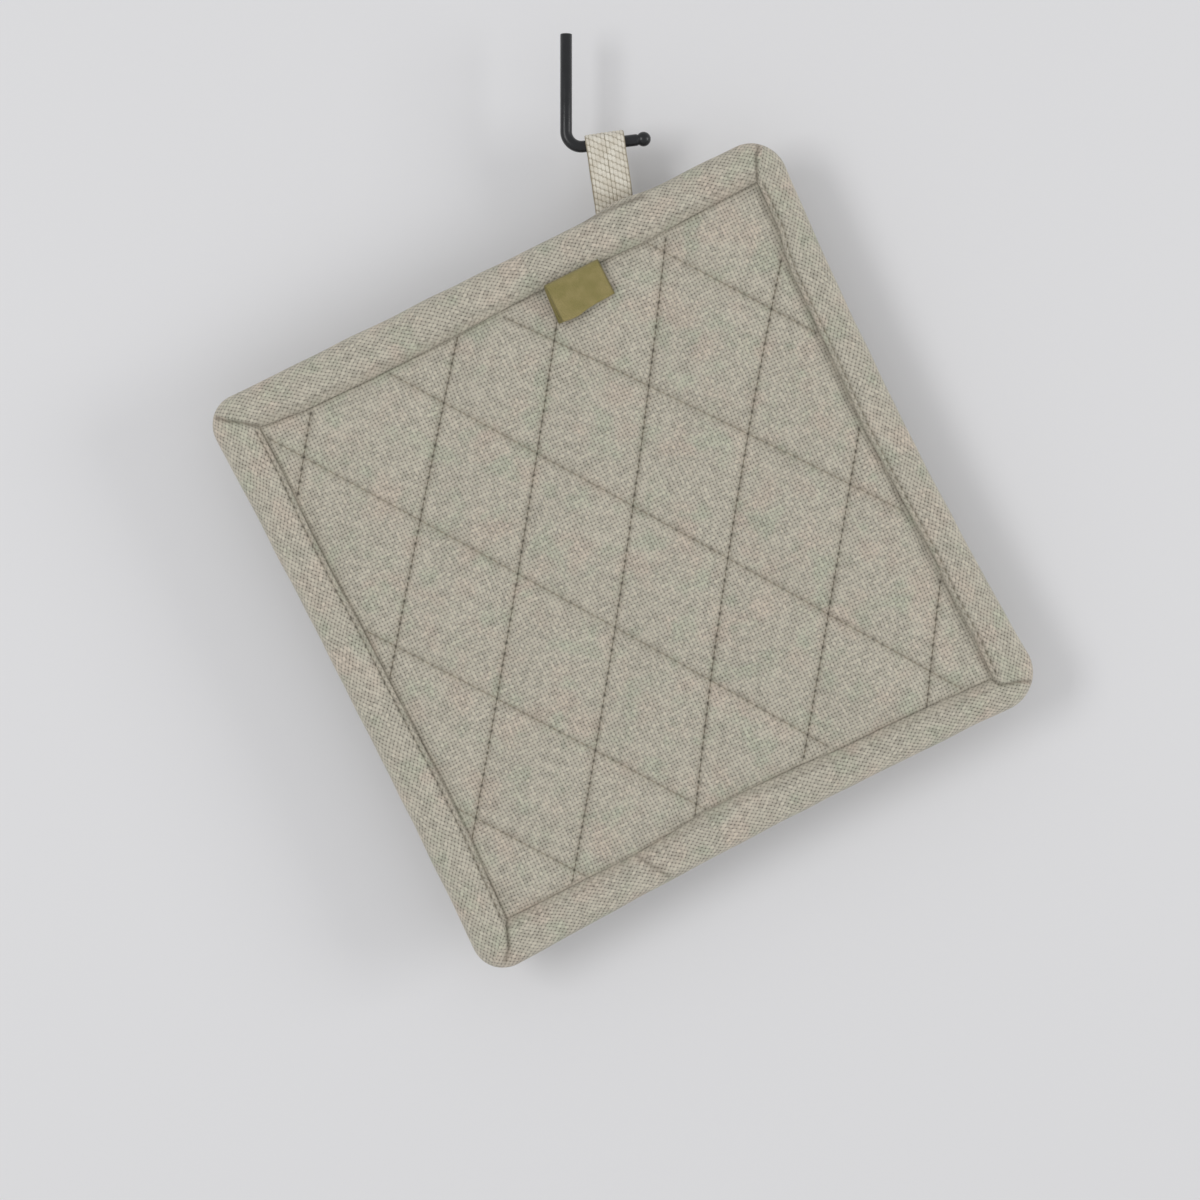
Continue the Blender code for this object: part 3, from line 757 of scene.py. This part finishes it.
def creased(x, z, lift):
    """Height of the face after its creases are pressed in, and how deep each place lies, which is also
    painted as shade.
    """
    shade = np.zeros_like(x)
    sign = np.sign(lift)
    for crease_line in CREASES:
        places = np.array(crease_line.line)
        nearest = np.full(x.shape, 1.0)
        leftness = np.zeros_like(x)
        for first, second in zip(places[:-1], places[1:]):
            run = second - first
            share = np.clip(((x - first[0]) * run[0] + (z - first[1]) * run[1]) / (run @ run), 0.0, 1.0)
            off_x, off_z = x - first[0] - run[0] * share, z - first[1] - run[1] * share
            off = np.hypot(off_x, off_z)
            left = np.sign(run[0] * off_z - run[1] * off_x)
            leftness = np.where(off < nearest, left, leftness)
            nearest = np.minimum(nearest, off)
        groove = np.exp(-(nearest / crease_line.half_width) ** 2)
        lap = crease_line.lap * leftness * np.exp(-nearest / 0.0016) * (1.0 - groove)
        lift = lift - sign * (crease_line.depth * groove - np.where(lift > 0.0, lap, 0.0))
        shade = np.maximum(shade, groove)
    return lift, shade


def make_binding():
    columns = binding_columns()
    count = len(columns)
    rows = len(across_binding(0.0, 0.012))
    places = np.zeros((count, rows, 3))
    arcs = np.zeros((count, rows))
    needle_dip_and_shade = np.zeros((count, rows))
    painted_crease_shade = np.zeros((count, rows))
    run_length = 0.0
    last_inner = columns[-1][0]
    for i, (inner, outer, side, ridge) in enumerate(columns):
        way = outer - inner
        length = float(np.hypot(*way))
        way = way / length
        run_length += float(np.hypot(*(inner - last_inner)))
        last_inner = inner
        profile = across_binding(ridge, length)
        steps = np.hypot(np.diff(profile[:, 0]), np.diff(profile[:, 1]))
        arc = np.concatenate(([0.0], np.cumsum(steps)))
        arc = arc - arc[2]
        x = inner[0] + way[0] * profile[:, 0]
        z = inner[1] + way[1] * profile[:, 0]
        places[i, :, 0], places[i, :, 1], places[i, :, 2] = x, profile[:, 1], z
        phase = run_length / STITCH_PITCH
        hole = math.exp(-((phase - round(phase)) / 0.17) ** 2)
        stitch_line = EDGE_STITCH_IN * ridge + LIP_STITCH_IN * (1.0 - ridge)
        beside = np.exp(-((profile[:, 0] - stitch_line) / 0.00035) ** 2)
        # Needle holes: dipped in the cloth and darkened with painted shade
        needle_dip_and_shade[i] = beside * hole * (0.45 + 0.35 * ridge)
        # Painted shade in the ditch and, on the plain sides, under the turned lip
        ditch_shade = np.exp(-(profile[:, 0] / 0.0016) ** 2) * 0.9
        lip_shade = (1.0 - ridge) * 0.5 * np.exp(-((profile[:, 0] - 0.0018) / 0.0012) ** 2)
        painted_crease_shade[i] = ditch_shade + lip_shade
        arcs[i] = arc
    lift = places[:, :, 1]
    away = np.sign(lift)
    lift = lift - away * needle_dip_and_shade * 0.00045
    lift, shade = creased(places[:, :, 0], places[:, :, 2], lift)
    places[:, :, 1] = lift
    # The creases' depth is painted into the colour as shade too
    needle_dip_and_shade = np.maximum(needle_dip_and_shade, shade * 0.35)
    painted_crease_shade = np.maximum(painted_crease_shade, shade)
    bm = bmesh.new()
    bmesh.ops.create_grid(bm, x_segments=count, y_segments=rows - 1, size=1.0)
    bm.verts.ensure_lookup_table()
    marks = {name: bm.verts.layers.float.new(name) for name in ("painted_crease_shade", "needle_dip_and_shade")}
    steps = [(round((vert.co.x + 1.0) / 2.0 * count), round((vert.co.y + 1.0) / 2.0 * (rows - 1)))
             for vert in bm.verts]
    for vert, (i, j) in zip(bm.verts, steps):
        x, lift, z = places[i % count, j]
        swing = wander(x, z, 0.009, 3.0) * 0.00016 + wander(x, z, 0.026, 9.0) * 0.00022
        from_hems = float(smooth((j - 8) / 10.0) * smooth((rows - 9 - j) / 10.0))
        bulge = wander(x, z, 0.014, 5.0) * 0.00030 * from_hems
        inner, outer = columns[i % count][0], columns[i % count][1]
        way = (outer - inner) / np.hypot(*(outer - inner))
        lift += math.copysign(swing, lift) * (abs(lift) > 0.001)
        vert.co = (x + way[0] * bulge, -lift, z + way[1] * bulge)
        vert[marks["painted_crease_shade"]] = painted_crease_shade[i % count, j]
        vert[marks["needle_dip_and_shade"]] = needle_dip_and_shade[i % count, j]
    flat_map = bm.loops.layers.uv.new("cloth")
    at = {vert.index: step for vert, step in zip(bm.verts, steps)}
    for face in bm.faces:
        corner = [at[loop.vert.index] for loop in face.loops]
        column = min(step[0] for step in corner)
        side = SIDES[columns[column][2]]
        for loop, (i, j) in zip(face.loops, corner):
            inner, outer = columns[i % count][0], columns[i % count][1]
            way = (outer - inner) / np.hypot(*(outer - inner))
            point = inner + way * arcs[i % count, j]
            loop[flat_map].uv = (float(point @ np.array(side.along)), float(point @ np.array(side.outward)))
    ends = [vert for vert, step in zip(bm.verts, steps) if step[0] in (0, count)]
    bmesh.ops.remove_doubles(bm, verts=ends, dist=1e-6)
    bmesh.ops.recalc_face_normals(bm, faces=bm.faces)
    front = [face for face in bm.faces if face.calc_center_median().y < -0.003]
    if sum(face.normal.y for face in front) > 0.0:
        bmesh.ops.reverse_faces(bm, faces=bm.faces)
    return mesh_of(bm, "binding")


binding_linen = linen("binding_linen", (53.0, 127.0), 0.0028)
binding_mesh = make_binding()
binding_faces = [tuple(face.vertices) for face in binding_mesh.polygons]
binding_surface = BVHTree.FromPolygons([tuple(v.co) for v in binding_mesh.vertices], binding_faces)
binding = add_piece("binding", binding_mesh, binding_linen, pad_place)
turned = binding.modifiers.new("Cloth thickness", "SOLIDIFY")
turned.thickness = 0.0005
turned.offset = -1.0
turned.use_even_offset = False
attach(binding, "root")
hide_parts("edge_binding")


def edge_stitches():
    """Stitches in the groove beside the ridge, down both ridged sides, on the face and behind."""
    stitches = []
    columns = binding_columns()
    run_length = 0.0
    last_inner = columns[-1][0]
    holes = []
    for inner, outer, side, ridge in columns:
        before = run_length
        run_length += float(np.hypot(*(inner - last_inner)))
        last_inner = inner
        if math.floor(run_length / STITCH_PITCH) > math.floor(before / STITCH_PITCH) and ridge > 0.95:
            way = (outer - inner) / np.hypot(*(outer - inner))
            holes.append((side, inner + way * EDGE_STITCH_IN))
    for (side, start), (next_side, end) in zip(holes, holes[1:]):
        if side == next_side and np.hypot(*(end - start)) < 2.0 * STITCH_PITCH:
            for front in (True, False):
                stitch = stitch_on(binding_surface, start, end, front)
                if stitch:
                    stitches.append(stitch)
    return stitches


sew("binding_thread", edge_stitches(), THREAD_RADIUS, pale_thread)


# ---------------------------------------------------------------------------------------------
# Side label.  A short olive ribbon folded in half, its cut ends caught under the upper binding
# and its fold standing a little off the pad.  It is left plain.
# ---------------------------------------------------------------------------------------------

LABEL_LEFT, LABEL_RIGHT = 0.0147, 0.0338
LABEL_TOP = 0.0866
LABEL_FOLD_Z = 0.0736
LABEL_LIFT_TOP, LABEL_LIFT_FOLD = 0.0041, 0.0063
LABEL_PITCH = 0.0010


def label_ribbon():
    ribbon = Nodes("label_ribbon")
    flat = ribbon.node("ShaderNodeUVMap", settings=(("uv_map", "cloth"),))
    apart = ribbon.node("ShaderNodeSeparateXYZ", 0, (), Vector=flat)
    ribs = ribbon.tree.nodes.new("ShaderNodeTexWave")
    ribs.wave_type = "BANDS"
    ribs.bands_direction = "Y"
    ribs.inputs["Scale"].default_value = 780.0
    ribs.inputs["Distortion"].default_value = 1.2
    ribs.inputs["Detail"].default_value = 1.0
    ribs.inputs["Detail Scale"].default_value = 2.0
    ribbon.plug(ribs.inputs["Vector"], flat)
    patches = ribbon.noise(flat, 190.0, 2.0)
    shade = ribbon.mix(ribbon.ramp(patches, 0.35, 0.68), colour_of(149, 139, 84), colour_of(164, 150, 98))
    fine = ribbon.noise(flat, 3000.0, 2.0)
    light = ribbon.ramp(fine, 0.3, 0.7, 0.86, 1.10)
    light = ribbon.math("MULTIPLY", light, ribbon.ramp(ribs.outputs["Fac"], 0.0, 1.0, 0.88, 1.05))
    # Both long edges darker: partly the ribbon's woven edge, partly painted shade between its two layers
    off = ribbon.math("ABSOLUTE", apart)
    woven_edge_and_shade = ribbon.ramp(off, 0.0088, 0.0094, 1.0, 0.72)
    light = ribbon.math("MULTIPLY", light, woven_edge_and_shade)
    shade = ribbon.mix(1.0, shade, ribbon.combine(light, light, light), "MULTIPLY")
    ribbon.set(Roughness=0.72, Specular_IOR_Level=0.35, Sheen_Weight=0.15)
    return ribbon.finish(shade, ribs.outputs["Fac"], 0.00010)


def label_rows():
    """Middle of the ribbon as height and lift: down behind, round the fold and up in front."""
    half = LABEL_PITCH / 2.0
    layer = []
    for down in (0.0, 0.06, 0.14, 0.25, 0.38, 0.52, 0.66, 0.80, 0.92):
        height = LABEL_TOP + (LABEL_FOLD_Z + half - LABEL_TOP) * down
        lift = LABEL_LIFT_TOP + (LABEL_LIFT_FOLD - LABEL_LIFT_TOP) * math.sqrt(down)
        layer.append((height, lift))
    fold = []
    for step in range(9):
        turn = math.pi * step / 8
        fold.append((LABEL_FOLD_Z + half - half * math.sin(turn), LABEL_LIFT_FOLD - half * math.cos(turn)))
    behind = [(height, lift - half) for height, lift in layer]
    before = [(height, lift + half) for height, lift in reversed(layer)]
    return behind + fold + before


def make_label():
    rows = label_rows()
    arc = [0.0]
    for here, there in zip(rows, rows[1:]):
        arc.append(arc[-1] + math.dist(here, there))
    bm = bmesh.new()
    bmesh.ops.create_grid(bm, x_segments=24, y_segments=len(rows) - 1, size=1.0)
    flat_map = bm.loops.layers.uv.new("cloth")
    width = LABEL_RIGHT - LABEL_LEFT
    for vert in bm.verts:
        row = round((vert.co.y + 1.0) / 2.0 * (len(rows) - 1))
        across = vert.co.x
        height, lift = rows[row]
        down = (LABEL_TOP - height) / (LABEL_TOP - LABEL_FOLD_Z)
        front = row >= len(rows) // 2
        lift += 0.0008 * (0.5 - across / 2.0) ** 2 * down
        lift += 0.0002 * wander(across * 0.01, height, 0.006, 2.0)
        shift = 0.0 if front else -0.0012
        sag = 0.0007 * math.exp(-((across + 0.45) / 0.35) ** 2) * down
        height -= sag - 0.0009 * (across + 1.0) / 2.0 * down
        for loop in vert.link_loops:
            loop[flat_map].uv = (across * width / 2.0, arc[row])
        x = LABEL_LEFT + width * (across + 1.0) / 2.0 + shift * down ** 0.5
        vert.co = (x, -lift, height)
    bmesh.ops.recalc_face_normals(bm, faces=bm.faces)
    return mesh_of(bm, "label"), arc[-1]


label_mesh, label_length = make_label()
label = add_piece("label", label_mesh, label_ribbon(), pad_place)
ribbon_cloth = label.modifiers.new("Ribbon thickness", "SOLIDIFY")
ribbon_cloth.thickness = 0.0004
ribbon_cloth.offset = 0.0
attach(label, "root")
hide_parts("side_label")


# ---------------------------------------------------------------------------------------------
# Hanging loop.  Undyed cotton tape in a coarse twill, folded over the hook's arm; its two ends
# are sewn in behind the upper binding.
# ---------------------------------------------------------------------------------------------

LOOP_LEAN = math.radians(8.5)
BOX_TO_LOOP_TOP = Vector((-0.00222, 0.0, 0.01488))
loop_low, loop_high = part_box("hanging_loop")
loop_place = Matrix.Translation((loop_low + loop_high) / 2.0 + BOX_TO_LOOP_TOP)
loop_place = loop_place @ Matrix.Rotation(-LOOP_LEAN, 4, "Y")
TAPE_WIDTH = 0.0125
AT_ARM = 0.0030
FLOAT_WIDTH = 0.00125
FLOAT_LENGTH = 0.00215
FLOAT_STEP = 0.36
FLOAT_RISE = 0.00032


def loop_line():
    """Middle of the tape as y and z, from the front leg's sewn end over the arm to the back's."""
    front, back = [], []
    for step in range(13):
        share = step / 12
        z = -0.0105 + (-0.0215 + 0.0105) * share
        ease = float(smooth(share))
        front.append((-AT_ARM - 0.0002 + (AT_ARM + 0.0002 + 0.0007) * ease, z))
        back.append((AT_ARM + 0.0002 + (0.0024 - AT_ARM - 0.0002) * ease, z))
    front = [(-AT_ARM - 0.0001, -0.002), (-AT_ARM - 0.0003, -0.0045), (-AT_ARM - 0.0003, -0.0075)] + front
    back = [(AT_ARM + 0.0001, -0.002), (AT_ARM + 0.0003, -0.0045), (AT_ARM + 0.0003, -0.0075)] + back
    front.append((0.0007, -0.0338))
    back.append((0.0024, -0.0338))
    arch = []
    for step in range(17):
        turn = math.pi * (1.0 - step / 16)
        arch.append((AT_ARM * math.cos(turn), AT_ARM * math.sin(turn)))
    return np.array(front[::-1] + arch + back)


def evenly(line, spacing):
    """Points at even spacing along a line, and the whole length."""
    steps = np.hypot(*np.diff(line, axis=0).T)
    arc = np.concatenate(([0.0], np.cumsum(steps)))
    count = round(arc[-1] / spacing)
    at = np.linspace(0.0, arc[-1], count + 1)
    return np.stack([np.interp(at, arc, line[:, 0]), np.interp(at, arc, line[:, 1])], axis=1), arc[-1]


def float_height(across, along):
    """Relief of the twill: plump yarn floats in columns, each column a step lower than the last."""
    column = math.floor(across / FLOAT_WIDTH)
    side = abs(across / FLOAT_WIDTH - column - 0.5) * 2.0
    lean = (across / FLOAT_WIDTH - column - 0.5) * 0.28
    run = along / FLOAT_LENGTH + column * FLOAT_STEP + lean
    end = abs(run - math.floor(run) - 0.5) * 2.0
    body = max(0.0, 1.0 - side ** 2.6) ** 0.6 * max(0.0, 1.0 - end ** 3.0) ** 0.7
    return body


def make_tape():
    line, length = evenly(loop_line(), 0.00026)
    tangents = np.gradient(line, axis=0)
    tangents /= np.hypot(*tangents.T)[:, None]
    normals = np.stack([-tangents[:, 1], tangents[:, 0]], axis=1)
    rows = len(line) - 1
    columns = 52
    bm = bmesh.new()
    bmesh.ops.create_grid(bm, x_segments=columns, y_segments=rows, size=1.0)
    relief = bm.verts.layers.float.new("relief")
    flat_map = bm.loops.layers.uv.new("cloth")
    for vert in bm.verts:
        row = round((vert.co.y + 1.0) / 2.0 * rows)
        across = vert.co.x * TAPE_WIDTH / 2.0
        along = length * row / rows
        rim = float(smooth((TAPE_WIDTH / 2.0 - abs(across)) / 0.0007))
        body = float_height(across + 0.02 + 0.0001 * wander(across, along, 0.004, 1.0), along)
        rise = FLOAT_RISE * body * rim + 0.00012 * wander(across, along, 0.005, 7.0)
        y, z = line[row] + normals[row] * (rise + 0.00045)
        waver = 0.00025 * wander(0.0, along, 0.008, 4.0) * abs(vert.co.x)
        vert[relief] = body * rim
        for loop in vert.link_loops:
            loop[flat_map].uv = (across, along)
        vert.co = (across + math.copysign(waver, vert.co.x), y, z)
    bmesh.ops.recalc_face_normals(bm, faces=bm.faces)
    outermost = max(bm.faces, key=lambda face: face.calc_center_median().z)
    if outermost.normal.z < 0.0:
        bmesh.ops.reverse_faces(bm, faces=bm.faces)
    return mesh_of(bm, "tape"), length


def tape_cotton():
    tape = Nodes("tape_cotton")
    flat = tape.node("ShaderNodeUVMap", settings=(("uv_map", "cloth"),))
    relief = tape.attribute("relief")
    patches = tape.noise(flat, 260.0, 2.0)
    fibres = tape.noise(flat, 2600.0, 3.0)
    yarn = tape.mix(tape.ramp(patches, 0.35, 0.65), colour_of(222, 215, 200), colour_of(236, 231, 218))
    light = tape.ramp(fibres, 0.3, 0.7, 0.88, 1.06)
    yarn = tape.mix(1.0, yarn, tape.combine(light, light, light), "MULTIPLY")
    # Painted shade between the twill's floats: lower places darker
    colour = tape.mix(tape.ramp(relief, 0.05, 0.75, 1.0, 0.0), yarn, colour_of(158, 148, 128))
    tape.set(Roughness=0.9, Specular_IOR_Level=0.2, Sheen_Weight=0.25)
    return tape.finish(colour, fibres, 0.00012)


tape_mesh, tape_length = make_tape()
tape = add_piece("tape", tape_mesh, tape_cotton(), loop_place)
tape_cloth = tape.modifiers.new("Tape thickness", "SOLIDIFY")
tape_cloth.thickness = 0.0010
tape_cloth.offset = -1.0
tape_cloth.use_even_offset = False
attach(tape, "root")
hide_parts("hanging_loop")


# ---------------------------------------------------------------------------------------------
# Hook.  Round steel wire, bent into an arm that rises a little and ends in a small ball, with a
# satin black coat.  Its rod is cut square where it goes up to what it hangs from.
# ---------------------------------------------------------------------------------------------

WIRE_RADIUS = 0.0019
BEND_RADIUS = 0.0049
ELBOW_Z = -0.0369
ARM_RISE = math.radians(7.1)
BALL_ALONG_ARM = 0.0251
BALL_RADIUS = 0.00235
NECK_RADIUS = 0.0016


def next_ring(bm, ring):
    """Extrude a ring of edges in place and return the new ring."""
    made = bmesh.ops.extrude_edge_only(bm, edges=ring)["geom"]
    verts = {item for item in made if isinstance(item, bmesh.types.BMVert)}
    edges = [item for item in made if isinstance(item, bmesh.types.BMEdge) and set(item.verts) <= verts]
    return edges, list(verts)


def make_hook():
    bm = bmesh.new()
    bmesh.ops.create_circle(bm, cap_ends=True, segments=32, radius=WIRE_RADIUS)
    ring = bm.edges[:]
    turn = math.pi / 2.0 + ARM_RISE
    reach = BEND_RADIUS * math.tan(turn / 2.0)
    bevel = 0.00015
    bmesh.ops.scale(bm, vec=(0.93, 0.93, 1.0), verts=bm.verts[:])
    ring, verts = next_ring(bm, ring)
    bmesh.ops.scale(bm, vec=(1 / 0.93, 1 / 0.93, 1.0), verts=verts)
    bmesh.ops.translate(bm, vec=(0.0, 0.0, -bevel), verts=verts)
    ring, verts = next_ring(bm, ring)
    bmesh.ops.translate(bm, vec=(0.0, 0.0, ELBOW_Z + reach + bevel), verts=verts)
    bend_middle = Vector((BEND_RADIUS, 0.0, ELBOW_Z + reach))
    made = bmesh.ops.spin(bm, geom=ring, cent=bend_middle, axis=(0.0, 1.0, 0.0), angle=-turn, steps=20)
    ring = [item for item in made["geom_last"] if isinstance(item, bmesh.types.BMEdge)]
    arm = Vector((math.cos(ARM_RISE), 0.0, math.sin(ARM_RISE)))
    ball = Vector((0.0, 0.0, ELBOW_Z)) + arm * BALL_ALONG_ARM
    neck_turn = math.asin(NECK_RADIUS / BALL_RADIUS)
    neck = ball - arm * BALL_RADIUS * math.cos(neck_turn)
    stations = [(neck - arm * 0.0007, WIRE_RADIUS), (neck - arm * 0.0003, WIRE_RADIUS * 0.97)]
    stations.append((neck, NECK_RADIUS))
    for step in range(1, 15):
        angle = neck_turn + (math.radians(176.0) - neck_turn) * step / 14
        stations.append((ball - arm * BALL_RADIUS * math.cos(angle), BALL_RADIUS * math.sin(angle)))
    now = WIRE_RADIUS
    for place, radius in stations:
        ring, verts = next_ring(bm, ring)
        middle = sum((vert.co for vert in verts), Vector()) / len(verts)
        bmesh.ops.scale(bm, vec=(radius / now,) * 3, space=Matrix.Translation(-middle), verts=verts)
        bmesh.ops.translate(bm, vec=place - middle, verts=verts)
        now = radius
    bmesh.ops.contextual_create(bm, geom=ring)
    bmesh.ops.remove_doubles(bm, verts=bm.verts[:], dist=1e-6)
    bmesh.ops.recalc_face_normals(bm, faces=bm.faces)
    return mesh_of(bm, "wire_hook")


def satin_black():
    coat = Nodes("satin_black")
    place = coat.node("ShaderNodeTexCoord", 3)
    grain = coat.noise(place, 1800.0, 2.0)
    cloudy = coat.noise(place, 220.0, 2.0)
    colour = coat.mix(cloudy, colour_of(22, 23, 26), colour_of(34, 35, 38))
    coat.plug(coat.shader.inputs["Roughness"], coat.ramp(cloudy, 0.3, 0.7, 0.24, 0.32))
    coat.set(Specular_IOR_Level=0.5)
    return coat.finish(colour, grain, 0.00003)


hook = add_piece("wire_hook", make_hook(), satin_black(), Matrix.Identity(4))
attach(hook, "root")
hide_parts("hook")


# ---------------------------------------------------------------------------------------------
# Wall, lights and camera.  A pale painted wall a little behind the pad, two soft lights in front
# of it to the left and right, and an even light from the room.  The camera is square to the pad.
# ---------------------------------------------------------------------------------------------

WALL_BEHIND = 0.018
wall_bm = bmesh.new()
wall_place = Matrix.Translation((0.0, WALL_BEHIND, 0.0)) @ Matrix.Rotation(math.pi / 2.0, 4, "X")
bmesh.ops.create_grid(wall_bm, x_segments=1, y_segments=1, size=3.0, matrix=wall_place)
wall_paint = Nodes("wall_paint")
wall_paint.set(Roughness=0.9, Specular_IOR_Level=0.1)
wall_paint.set(Base_Color=colour_of(235, 235, 237))
wall = bpy.data.objects.new("wall", mesh_of(wall_bm, "wall"))
wall.data.materials.append(wall_paint.material)
bpy.context.scene.collection.objects.link(wall)


def add_softbox(name, azimuth, elevation, distance, width, height, power, aim):
    """A soft light turned to a point; azimuth 0 is in front, and 90 to the right."""
    lamp = bpy.data.lights.new(name, "AREA")
    lamp.shape = "RECTANGLE"
    lamp.size = width
    lamp.size_y = height
    lamp.energy = power
    turn, rise = math.radians(azimuth), math.radians(elevation)
    away = Vector((math.sin(turn) * math.cos(rise), -math.cos(turn) * math.cos(rise), math.sin(rise)))
    light = bpy.data.objects.new(name, lamp)
    light.location = Vector(aim) + away * distance
    light.rotation_euler = (-away).to_track_quat("-Z", "Y").to_euler()
    bpy.context.scene.collection.objects.link(light)
    return light


AIM = (0.0109, 0.0, -0.1821)
add_softbox("left_softbox", -38.0, 4.0, 1.6, 0.5, 0.8, 6.0, AIM)
add_softbox("right_softbox", 65.0, 4.0, 1.6, 0.5, 0.8, 6.5, AIM)
room = bpy.data.worlds.new("room")
room.use_nodes = True
room.node_tree.nodes["Background"].inputs["Color"].default_value = (1.0, 1.0, 1.0, 1.0)
room.node_tree.nodes["Background"].inputs["Strength"].default_value = 0.56
bpy.context.scene.world = room

PAD_FACE = -0.0042
CAMERA_DISTANCE = 1.0683
lens = bpy.data.cameras.new("camera")
lens.lens = 100.0
lens.sensor_width = 36.0
camera = bpy.data.objects.new("camera", lens)
camera.location = (AIM[0], PAD_FACE - CAMERA_DISTANCE, AIM[2])
camera.rotation_euler = (math.pi / 2.0, 0.0, 0.0)
bpy.context.scene.collection.objects.link(camera)
bpy.context.scene.camera = camera
bpy.context.scene.view_settings.view_transform = "Standard"
